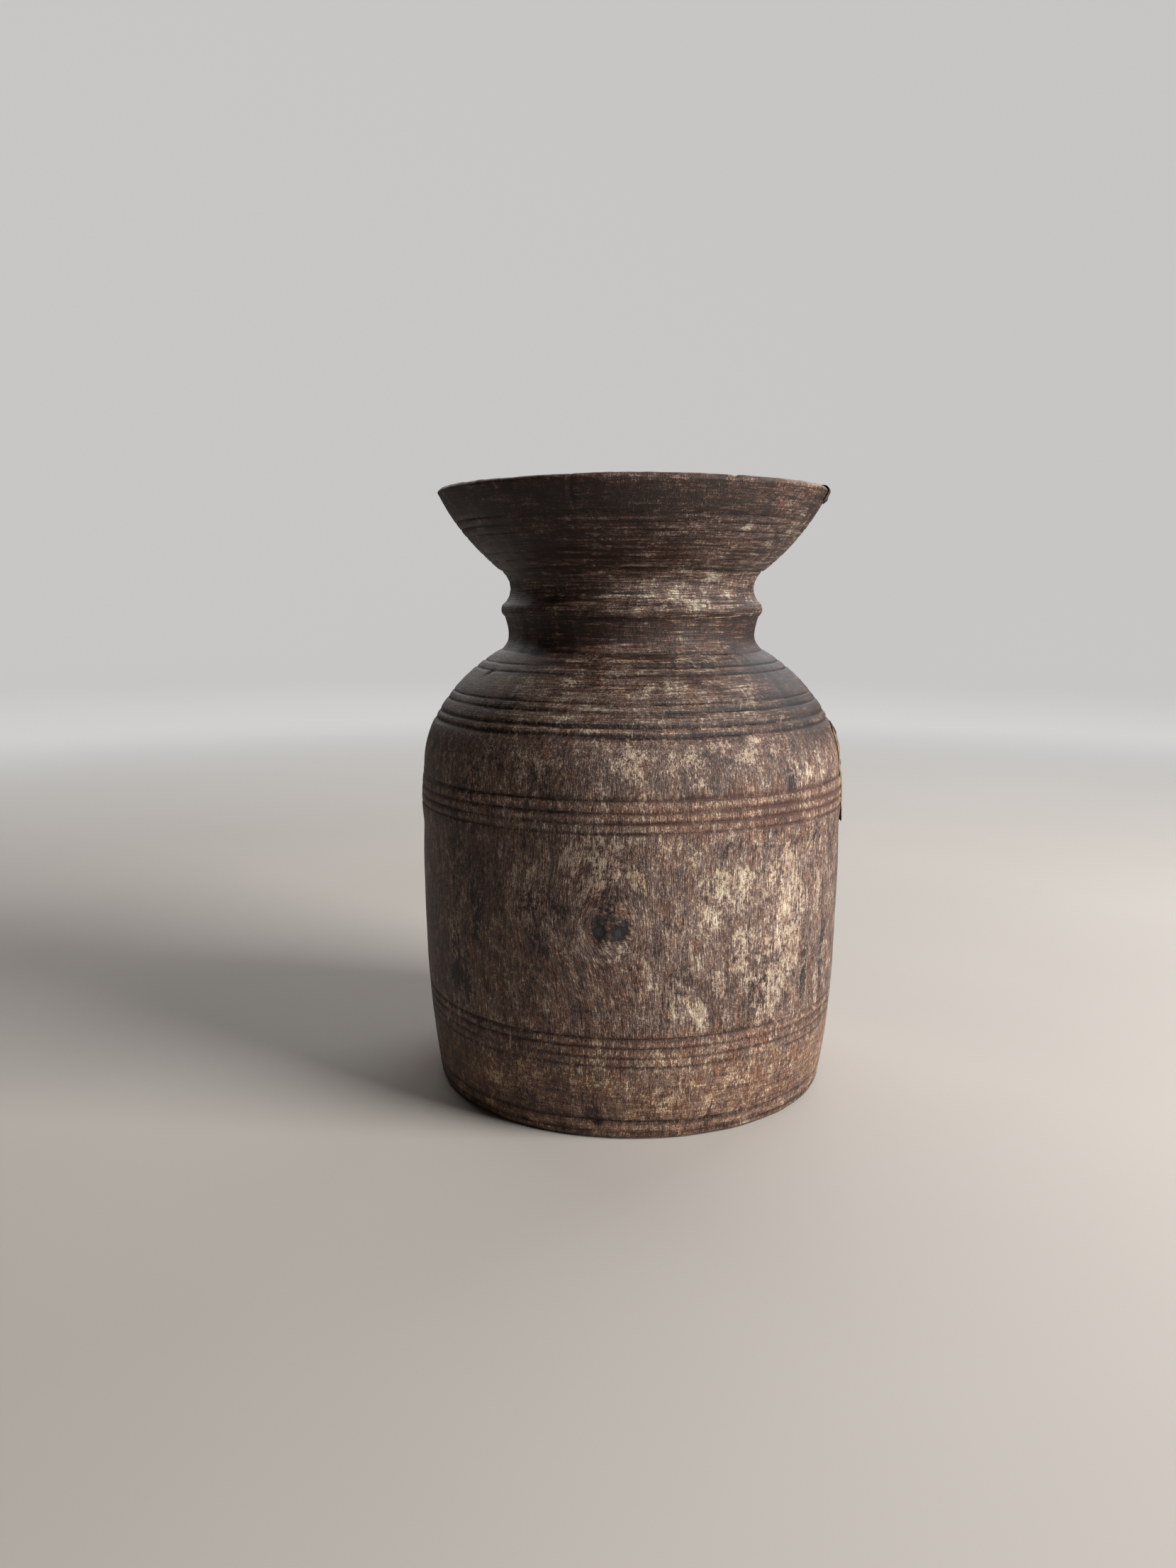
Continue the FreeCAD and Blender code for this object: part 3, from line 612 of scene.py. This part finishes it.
def nail_mesh(points, faces, seat, outward, sizes, seed):
    """Add one nail with a hammered dome to a list of points and faces; its seed shapes the dome."""
    head, dome, shank, depth = sizes
    rim = dome - math.sqrt(dome ** 2 - head ** 2)
    outline = [(0.02, -depth), (shank * 0.7, -depth * 0.82), (shank, -depth * 0.6), (shank, 0.0),
               (head * 0.8, 0.0), (head * 0.97, 0.02), (head, rim * 0.14), (head * 0.93, rim * 0.34),
               (head * 0.78, rim * 0.6), (head * 0.56, rim * 0.82), (head * 0.3, rim * 0.96), (0.02, rim)]
    rng = np.random.default_rng(seed)
    turns = 2 * math.pi * np.arange(NAIL_SIDES) / NAIL_SIDES
    swell = 1 + 0.05 * np.cos(turns * 2 + rng.uniform(0, 6))
    swell += 0.025 * np.cos(turns * 5 + rng.uniform(0, 6))
    out = Vector(outward).normalized()
    side = out.cross(Vector((0, 0, 1))).normalized()
    up = side.cross(out)
    first = len(points)
    flat = rng.uniform(0.86, 1.0)
    for radius, level in outline:
        for step, angle in enumerate(turns):
            reach = radius * (swell[step] if level >= 0 and radius > shank else 1)
            pressed = level * (1 - 0.12 * math.cos(angle + seed)) if level > rim * 0.5 else level
            place = Vector(seat) + (side * math.cos(angle) + up * math.sin(angle)) * reach * MM
            points.append(place + out * pressed * flat * MM)
    for row in range(len(outline) - 1):
        low = first + row * NAIL_SIDES
        for step in range(NAIL_SIDES):
            a, b = low + step, low + (step + 1) % NAIL_SIDES
            faces.append((a, b, b + NAIL_SIDES, a + NAIL_SIDES))
    last = first + (len(outline) - 1) * NAIL_SIDES
    faces.append(tuple(range(first + NAIL_SIDES - 1, first - 1, -1)))
    faces.append(tuple(range(last, last + NAIL_SIDES)))


def wall_seat(azimuth, height, lift):
    """A place on the outer wall, lifted off it, and the way out of the wall there."""
    radius, level, normal_r, normal_z = (float(v[0]) for v in section_at(np.array([outer_length(height)])))
    angle = math.radians(azimuth)
    seat = on_wall(np.array(azimuth), radius + lift * normal_r, level + lift * normal_z)
    return seat, (normal_r * math.sin(angle), -normal_r * math.cos(angle), normal_z)


def make_tacks(material):
    """The tacks of the sheet, as one object."""
    points, faces = [], []
    for number, (azimuth, height) in enumerate(tack_places()):
        seat, outward = wall_seat(azimuth, height, TACK_LIFT)
        nail_mesh(points, faces, seat, outward, TACK_SIZES, number)
    return new_object("side_patch_tack_heads", points, faces, material)


def make_clip(material):
    """The strip folded over the rim, crimped close to the lip, with ragged ends."""
    columns, rows = 40, 64
    across, along = np.meshgrid(np.linspace(0, 1, columns), np.linspace(0, 1, rows))
    outer_end = outer_length(CLIP_LEG_HEIGHT)
    inner_end = 2 * LIP_LENGTH - outer_end + CLIP_INNER_EXTRA
    rag = Relief(31, 2.4, 2.4)
    first = 0.02 + 0.018 * rag.at(0 * along, along * 14)
    last = 0.98 + 0.018 * rag.at(0 * along + 40, along * 14)
    bottom = 0.02 + 0.022 * rag.at(across * 9, 0 * across + 50)
    top = 0.98 + 0.022 * rag.at(across * 9, 0 * across + 80)
    azimuth = between(CLIP_AZIMUTHS, between((first, last), across))
    length = between((outer_end, inner_end), between((bottom, top), along))
    lift = np.maximum(0.05, 0.10 + 0.06 * Relief(32, 3, 3).at(azimuth, length))
    clip = wall_plate("rim_clip_strip", azimuth, length, lift, CLIP_THICK, material)
    edges = np.minimum.reduce([across, 1 - across, along, 1 - along])
    write_edge(clip, 1 - smooth(edges / 0.08))
    return clip


def make_pin(material):
    """The pin through the outer leg of the clip."""
    points, faces = [], []
    seat, outward = wall_seat(sum(CLIP_AZIMUTHS) / 2, PIN_HEIGHT, PIN_LIFT)
    nail_mesh(points, faces, seat, outward, PIN_SIZES, 40)
    return new_object("rim_clip_pin_head", points, faces, material)


# ----- Materials -----
# The output of a Texture Coordinate node that gives the place on the object
OBJECT_OUTPUT = 3


class Paint:
    """A node material under construction: each call adds a node and returns its output."""

    def __init__(self, name):
        self.material = bpy.data.materials.new(name)
        self.material.use_nodes = True
        self.tree = self.material.node_tree
        self.shader = self.tree.nodes["Principled BSDF"]

    def node(self, kind, inputs=(), output=0, **settings):
        """Any node, from its inputs (linked or plain values) and its settings."""
        made = self.tree.nodes.new(kind)
        for name, value in settings.items():
            setattr(made, name, value)
        for key, value in dict(inputs).items():
            if isinstance(value, bpy.types.NodeSocket):
                self.tree.links.new(value, made.inputs[key])
            else:
                made.inputs[key].default_value = value
        return made.outputs[output]

    def field(self, name, output="Fac"):
        """What the mesh stores under a name."""
        return self.node("ShaderNodeAttribute", attribute_name=name, output=output)

    def math(self, operation, first, second=0.0, third=0.0, clamp=False):
        return self.node("ShaderNodeMath", {0: first, 1: second, 2: third}, operation=operation, use_clamp=clamp)

    def times(self, first, second, clamp=False):
        return self.math("MULTIPLY", first, second, clamp=clamp)

    def scaled(self, vector, across, along):
        """A copy of a vector, with features that many units wide and tall."""
        size = (1 / across, 1 / across, 1 / along)
        return self.node("ShaderNodeVectorMath", {0: vector, 1: size}, operation="MULTIPLY")

    def noise(self, vector, across, along, detail=2.0, roughness=0.5):
        """Noise in 0..1 with features that many units wide and tall."""
        place = self.scaled(vector, across, along)
        inputs = {"Vector": place, "Scale": 1.0, "Detail": detail, "Roughness": roughness}
        return self.node("ShaderNodeTexNoise", inputs)

    def ease(self, value, low, high, from_value=0.0, to_value=1.0):
        """A smooth step from one value at low to another at high."""
        inputs = {"Value": value, "From Min": low, "From Max": high, "To Min": from_value, "To Max": to_value}
        return self.node("ShaderNodeMapRange", inputs, interpolation_type="SMOOTHSTEP")

    def centred(self, value):
        """Noise moved to lie about 0."""
        return self.math("SUBTRACT", value, 0.5)

    def blend(self, factor, first, second):
        """A number between two numbers."""
        step = self.math("SUBTRACT", second, first)
        return self.math("MULTIPLY_ADD", factor, step, first)

    def sum(self, *terms):
        """The weighted sum of (weight, value) pairs."""
        total = 0.0
        for weight, value in terms:
            total = self.math("MULTIPLY_ADD", value, weight, total)
        return total

    def ramp(self, value, stops):
        """A colour from a number, through (position, colour) stops."""
        made = self.tree.nodes.new("ShaderNodeValToRGB")
        self.tree.links.new(value, made.inputs["Fac"])
        points = made.color_ramp.elements
        while len(points) < len(stops):
            points.new(0.5)
        for point, (position, colour) in zip(points, stops):
            point.position = position
            point.color = (*colour, 1)
        return made.outputs["Color"]

    def mix(self, factor, first, second, blend="MIX"):
        """A colour mixed from two colours."""
        made = self.tree.nodes.new("ShaderNodeMix")
        made.data_type = "RGBA"
        made.blend_type = blend
        for key, value in ((0, factor), (6, first), (7, second)):
            if isinstance(value, bpy.types.NodeSocket):
                self.tree.links.new(value, made.inputs[key])
            else:
                made.inputs[key].default_value = value if key == 0 else (*value, 1)
        return made.outputs[2]

    def tint(self, share, colour, tint):
        """A colour multiplied by a tint, as far as the share says."""
        return self.mix(share, colour, tint, "MULTIPLY")

    def bump(self, height, distance, strength, under=None):
        """A normal roughened by a height, on top of another one if given."""
        inputs = {"Height": height, "Distance": distance, "Strength": strength}
        if under:
            inputs["Normal"] = under
        return self.node("ShaderNodeBump", inputs)

    def finish(self, **sockets):
        """Set the shader's sockets, with _ for spaces in their names, and return the material."""
        for name, value in sockets.items():
            socket = self.shader.inputs[name.replace("_", " ")]
            if isinstance(value, bpy.types.NodeSocket):
                self.tree.links.new(value, socket)
            else:
                socket.default_value = value
        return self.material


def knot_stain(paint, colour):
    """The colour with the knot on it: two dark eyes with greyer hearts, and a ragged dark ring round both."""
    place = paint.field("knot", "Vector")
    across = paint.node("ShaderNodeSeparateXYZ", {"Vector": place}, 0)
    up = paint.node("ShaderNodeSeparateXYZ", {"Vector": place}, 1)
    ragged = paint.centred(paint.noise(place, 1.3, 1.3, detail=4.0, roughness=0.65))

    def reach_in(oval):
        """Raggedly 0 in the middle of an oval and 1 at its edge."""
        centre_across, centre_up, wide, tall = oval
        x = paint.math("MULTIPLY_ADD", across, 1 / wide, -centre_across / wide)
        y = paint.math("MULTIPLY_ADD", up, 1 / tall, -centre_up / tall)
        square = paint.math("MULTIPLY_ADD", y, y, paint.times(x, x))
        return paint.sum((1.0, paint.math("SQRT", square)), (1.2, ragged))

    ring = reach_in(KNOT_RING)
    dark = paint.times(paint.ease(ring, 1.20, 0.85, 0.0, 0.75), paint.ease(ring, 0.30, 0.80))
    heart = 0.0
    for eye in KNOT_EYES:
        reach = reach_in(eye)
        dark = paint.math("MAXIMUM", dark, paint.ease(reach, 1.30, 1.00, 0.0, 0.96))
        heart = paint.math("MAXIMUM", heart, paint.ease(reach, 0.80, 0.35))
    stain = paint.mix(heart, (0.010, 0.010, 0.012), (0.032, 0.032, 0.035))
    return paint.mix(dark, colour, stain)


def old_wood():
    """Dark, greasy wood: short pale fibres on a brown ground, chalky worn patches, grime and turning marks.

    The noise sizes are millimetres of the unbent grain, round the pot and up it.
    """
    paint = Paint("old_wood")
    grain = paint.field("grain", "Vector")
    worn, grime = paint.field("worn"), paint.field("grime")
    line, crest, lip = paint.field("line"), paint.field("crest"), paint.field("lip")
    dent, inside = paint.field("dent"), paint.field("inside")
    tone_and_painted_light, turning = paint.field("tone_and_painted_light"), paint.field("turning")
    halo, rusty, low = paint.field("halo"), paint.field("rusty"), paint.field("low")

    hair = paint.noise(grain, 0.36, 3.6, detail=3.0, roughness=0.66)
    pores = paint.noise(grain, 0.30, 1.9, detail=2.0, roughness=0.60)
    dots = paint.noise(grain, 0.50, 0.50, detail=2.0, roughness=0.62)
    fibre = paint.noise(grain, 1.5, 15.0, detail=4.0, roughness=0.65)
    crumbs = paint.noise(grain, 1.5, 1.9, detail=5.0, roughness=0.80)
    patch = paint.noise(grain, 8.0, 10.0, detail=6.0, roughness=0.72)
    cloud = paint.noise(grain, 34.0, 44.0, detail=3.0, roughness=0.5)
    streak = paint.noise(grain, 21.0, 0.9, detail=4.0, roughness=0.68)
    fine_streak = paint.noise(grain, 6.0, 0.38, detail=3.0, roughness=0.6)

    # Where the wood is worn or grimy, and how light its ground is, with the painted light and shade of the tone
    # included
    along = paint.blend(turning, hair, fine_streak)
    breakup = paint.sum((0.9, paint.centred(crumbs)), (1.0, paint.centred(patch)), (0.5, paint.centred(along)))
    worn_edge = paint.ease(paint.sum((0.36, worn), (1.0, breakup)), 0.13, 0.25)
    grime_edge = paint.ease(paint.sum((0.36, grime), (-1.0, breakup)), 0.14, 0.23)
    lengthways = paint.times(paint.centred(fibre), paint.ease(turning, 0.9, 0.2))
    ground = paint.sum(
        (1.0, tone_and_painted_light), (0.75, paint.centred(patch)), (0.6, paint.centred(cloud)), (0.8, lengthways),
        (0.11, worn_edge), (-0.22, grime_edge), (0.24, crest), (0.20, lip), (0.06, halo),
        (2.2, paint.times(turning, paint.centred(streak))),
        (0.4, paint.times(turning, paint.centred(fine_streak))),
        (-0.22, inside), (0.43, 1.0),
    )
    # Pale crumbs, fibres and pits on that ground
    fibrous = paint.times(paint.centred(along), paint.ease(turning, 0.4, 1.0, 0.95, 0.50))
    crumbly = paint.sum((0.85, crumbs), (0.55, paint.centred(dots)), (0.42, paint.centred(patch)),
                        (0.45, fibrous), (0.085, worn_edge), (0.16, ground), (-0.04, low))
    pale = paint.ease(crumbly, 0.525, 0.63)
    pale = paint.times(pale, paint.ease(ground, -0.1, 0.8, 0.35, 1.0))
    pit = paint.ease(paint.sum((0.6, pores), (0.4, crumbs)), 0.45, 0.37)
    hairs = paint.times(paint.ease(turning, 1.0, 0.0), paint.ease(hair, 0.54, 0.66))
    shade = paint.sum((0.72, ground), (0.20, pale), (-0.15, pit), (1.0, fibrous), (0.08, hairs),
                      (0.60, paint.centred(crumbs)), (0.60, paint.centred(dots)))
    colour = paint.ramp(shade, (
        (0.00, (0.015, 0.0080, 0.0058)),
        (0.14, (0.047, 0.0265, 0.0200)),
        (0.30, (0.118, 0.0710, 0.0560)),
        (0.46, (0.212, 0.1420, 0.1110)),
        (0.64, (0.336, 0.2620, 0.1950)),
        (0.82, (0.508, 0.4280, 0.3140)),
        (1.00, (0.670, 0.6000, 0.4580)),
    ))
    # Reddish, bluish, sooty and chalky tints, and painted warm bounce light low down
    tint = paint.noise(grain, 5.0, 9.0, detail=5.0, roughness=0.70)
    bare = paint.ease(pale, 0.0, 1.0, 0.8, 0.25)
    rust = paint.times(bare, paint.ease(paint.sum((1.0, tint), (0.16, rusty)), 0.50, 0.64))
    slate = paint.times(bare, paint.ease(paint.sum((1.0, tint), (0.10, rusty)), 0.48, 0.38))
    colour = paint.tint(rust, colour, (1.0, 0.74, 0.60))
    colour = paint.tint(slate, colour, (0.82, 0.86, 0.98))
    soot = paint.times(turning, paint.ease(shade, 0.40, 0.02))
    chalk = paint.times(paint.ease(turning, 0.36, 0.7), paint.ease(shade, 0.16, 0.46))
    # Painted warm bounce light from below, warming the low part of the wall
    colour = paint.tint(low, colour, (1.0, 0.90, 0.79))
    colour = paint.tint(soot, colour, (1.0, 0.80, 0.66))
    colour = paint.tint(chalk, colour, (0.88, 1.0, 1.01))
    colour = paint.tint(paint.times(grime_edge, 0.6), colour, (0.50, 0.54, 0.62))
    # Turned lines, dents, the inside and the knot
    in_line = paint.times(line, paint.ease(crumbs, 0.62, 0.48, 0.50, 1.0), clamp=True)
    in_rust = paint.times(in_line, rusty)
    colour = paint.tint(in_line, colour, (0.10, 0.055, 0.045))
    colour = paint.mix(paint.times(in_rust, 0.70), colour, (0.085, 0.028, 0.016))
    colour = paint.tint(paint.times(dent, 0.6), colour, (0.30, 0.26, 0.25))
    colour = paint.tint(paint.times(inside, 0.5), colour, (0.50, 0.42, 0.38))
    colour = knot_stain(paint, colour)

    fine = paint.bump(paint.sum((0.6, along), (0.6, crumbs), (0.3, dots)), 0.0006, 0.8)
    normal = paint.bump(paint.sum((0.6, pores), (0.5, fibre)), 0.0005, 0.6, fine)
    roughness = paint.ease(shade, 0.1, 0.8, 0.50, 0.80)
    return paint.finish(Base_Color=colour, Roughness=roughness, Normal=normal, Specular_IOR_Level=0.35)


def worn_metal(name, stops, edge_colour, edge_share, roughness, metallic, feature):
    """Tarnished sheet or iron: blotches of the feature's size in millimetres, pits, scratches and rubbed edges."""
    paint = Paint(name)
    place = paint.scaled(paint.node("ShaderNodeTexCoord", output=OBJECT_OUTPUT), MM, MM)
    blotch = paint.noise(place, feature, feature, detail=5.0, roughness=0.65)
    pits = paint.noise(place, feature * 0.16, feature * 0.16, detail=3.0, roughness=0.6)
    scratch = paint.noise(place, feature * 0.1, feature * 2.5, detail=2.0, roughness=0.5)
    value = paint.math("MULTIPLY_ADD", pits, 0.35, paint.times(blotch, 0.8))
    colour = paint.ramp(paint.ease(value, 0.35, 0.80), stops)
    edge = paint.field("edge")
    rubbed = paint.times(edge, paint.ease(blotch, 0.30, 0.55), clamp=True)
    rubbed = paint.math("MAXIMUM", rubbed, paint.times(paint.ease(scratch, 0.66, 0.74), 0.6))
    rubbed = paint.times(rubbed, edge_share)
    colour = paint.mix(rubbed, colour, edge_colour)
    normal = paint.bump(value, 0.0002, 0.6)
    rough = paint.sum((0.3, pits), (0.25, rubbed), (roughness - 0.1, 1.0))
    bare = paint.ease(rubbed, 0.0, 1.0, metallic, metallic * 0.3)
    return paint.finish(Base_Color=colour, Metallic=bare, Roughness=rough, Normal=normal)


# ----- Studio, in metres -----
FLOOR_RADIUS, FLAT_RADIUS = 1.0, 2.4
BEND_RADIUS, BEND_STEPS = 0.9, 16
WALL_HEIGHT = 2.2
STAGE_SIDES = 96
# Soft lights: name, azimuth, elevation, distance, width, height, watts, colour
LIGHTS = (
    ("window", 67, 21, 1.5, 0.8, 1.0, 52, (1.0, 0.97, 0.93)),
    ("back_window", 152, 34, 1.8, 1.3, 1.1, 16, (0.97, 0.98, 1.0)),
    ("rear_fill", 203, 32, 2.0, 1.4, 1.2, 14, (1.0, 0.97, 0.94)),
)
ROOM_COLOUR, ROOM_STRENGTH = (1.0, 0.86, 0.74, 1), 0.03
CAMERA_PLACE = (0.0, -0.5197, 0.2083)
CAMERA_LENS, CAMERA_SENSOR = 27.67, 36.0
CAMERA_TIP, CAMERA_TURN = 9.08, 2.04


def revolve(name, outline, material):
    """A surface of revolution about the pot's axis from (radius, height) pairs."""
    points = []
    for radius, level in outline:
        for step in range(STAGE_SIDES):
            angle = 2 * math.pi * step / STAGE_SIDES
            points.append((radius * math.cos(angle), radius * math.sin(angle), level))
    faces = []
    for row in range(len(outline) - 1):
        low, high = row * STAGE_SIDES, (row + 1) * STAGE_SIDES
        for step in range(STAGE_SIDES):
            following = (step + 1) % STAGE_SIDES
            faces.append((low + step, low + following, high + following, high + step))
    return new_object(name, points, faces, material)


def pale_studio():
    """Matt pale paint that darkens and glows with distance from the pot, so that the background stays even."""
    paint = Paint("pale_studio")
    place = paint.node("ShaderNodeTexCoord", output=OBJECT_OUTPUT)
    mottle = paint.noise(place, 0.35, 0.35, detail=4.0)
    colour = paint.ramp(mottle, ((0.3, (0.43, 0.405, 0.38)), (0.7, (0.46, 0.435, 0.41))))
    away = paint.node("ShaderNodeVectorMath", {0: place}, operation="LENGTH", output=1)
    colour = paint.mix(paint.ease(away, 0.40, 1.3), colour, (0.07, 0.067, 0.064))
    glow = paint.ease(away, 0.35, 1.5, 0.0, 0.56)
    return paint.finish(Base_Color=colour, Roughness=0.9, Specular_IOR_Level=0.1,
                        Emission_Color=(1.0, 0.985, 0.965, 1), Emission_Strength=glow)


def make_stage():
    """A pale floor, and a pale wall that curves up all round, far behind every viewpoint."""
    material = pale_studio()
    floor = revolve("studio_floor", [(0.0005, 0.0), (FLOOR_RADIUS / 2, 0.0), (FLOOR_RADIUS, 0.0)], material)
    outline = [(FLOOR_RADIUS, 0.0), (FLAT_RADIUS, 0.0)]
    for step in range(1, BEND_STEPS + 1):
        angle = math.pi / 2 * step / BEND_STEPS
        outline.append((FLAT_RADIUS + BEND_RADIUS * math.sin(angle), BEND_RADIUS * (1 - math.cos(angle))))
    outline.append((FLAT_RADIUS + BEND_RADIUS, BEND_RADIUS + WALL_HEIGHT))
    backdrop = revolve("studio_wall", outline, material)
    backdrop.visible_diffuse = False
    backdrop.visible_glossy = False


def add_light(target, name, azimuth, elevation, distance, width, height, watts, colour):
    """A soft area light, aimed at a place from an azimuth and an elevation."""
    lamp = bpy.data.lights.new(name, "AREA")
    lamp.shape = "RECTANGLE"
    lamp.size, lamp.size_y = width, height
    lamp.energy = watts
    lamp.color = colour
    a, e = math.radians(azimuth), math.radians(elevation)
    way = Vector((math.sin(a) * math.cos(e), -math.cos(a) * math.cos(e), math.sin(e)))
    light = bpy.data.objects.new(name, lamp)
    light.location = target + way * distance
    light.rotation_euler = way.to_track_quat("Z", "Y").to_euler()
    light.visible_camera = False
    bpy.context.scene.collection.objects.link(light)


def make_lights():
    """The soft lights, and a dim warm room round them."""
    for light in LIGHTS:
        add_light((CAD_LOW + CAD_HIGH) / 2, *light)
    world = bpy.data.worlds.new("soft_room")
    world.use_nodes = True
    background = world.node_tree.nodes["Background"]
    background.inputs["Color"].default_value = ROOM_COLOUR
    background.inputs["Strength"].default_value = ROOM_STRENGTH
    bpy.context.scene.world = world


def make_camera():
    """A wide phone lens close to the pot, a little above its middle and tipped down."""
    camera = bpy.data.objects.new("camera", bpy.data.cameras.new("camera"))
    camera.data.sensor_width = CAMERA_SENSOR
    camera.data.lens = CAMERA_LENS
    camera.location = CAMERA_PLACE
    camera.rotation_euler = (math.pi / 2 - math.radians(CAMERA_TIP), 0.0, math.radians(CAMERA_TURN))
    camera.data.clip_start = 0.01
    bpy.context.scene.collection.objects.link(camera)
    bpy.context.scene.camera = camera


def place(piece, node, slot):
    """Let a piece stand for a CAD node, whose own mesh is hidden; the slot is not used."""
    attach(piece, "root")
    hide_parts(node)


bpy.context.scene.view_settings.view_transform = "Standard"
make_camera()
make_lights()
make_stage()
place(make_pot(old_wood()), "turned_body", "old_wood")
tarnished = worn_metal(
    "tarnished_brass",
    stops=((0.0, (0.012, 0.009, 0.007)), (0.45, (0.040, 0.026, 0.017)), (0.75, (0.088, 0.056, 0.031)),
           (1.0, (0.19, 0.125, 0.062))),
    edge_colour=(0.60, 0.44, 0.24), edge_share=0.9, roughness=0.48, metallic=0.70, feature=4.5,
)
rusted = worn_metal(
    "rusted_iron",
    stops=((0.0, (0.008, 0.006, 0.006)), (0.5, (0.030, 0.020, 0.016)), (0.8, (0.080, 0.042, 0.027)),
           (1.0, (0.16, 0.078, 0.042))),
    edge_colour=(0.20, 0.17, 0.15), edge_share=0.5, roughness=0.55, metallic=0.5, feature=1.6,
)
clip_iron = worn_metal(
    "clip_iron",
    stops=((0.0, (0.012, 0.007, 0.006)), (0.5, (0.055, 0.026, 0.018)), (0.8, (0.13, 0.060, 0.040)),
           (1.0, (0.22, 0.11, 0.07))),
    edge_colour=(0.02, 0.015, 0.012), edge_share=0.9, roughness=0.6, metallic=0.35, feature=2.5,
)
place(make_sheet(tarnished), "side_patch", "patch_metal")
place(make_tacks(rusted), "side_patch_tacks", "nail_iron")
place(make_clip(clip_iron), "rim_clip", "clip_iron")
place(make_pin(rusted), "rim_clip_pin", "nail_iron")
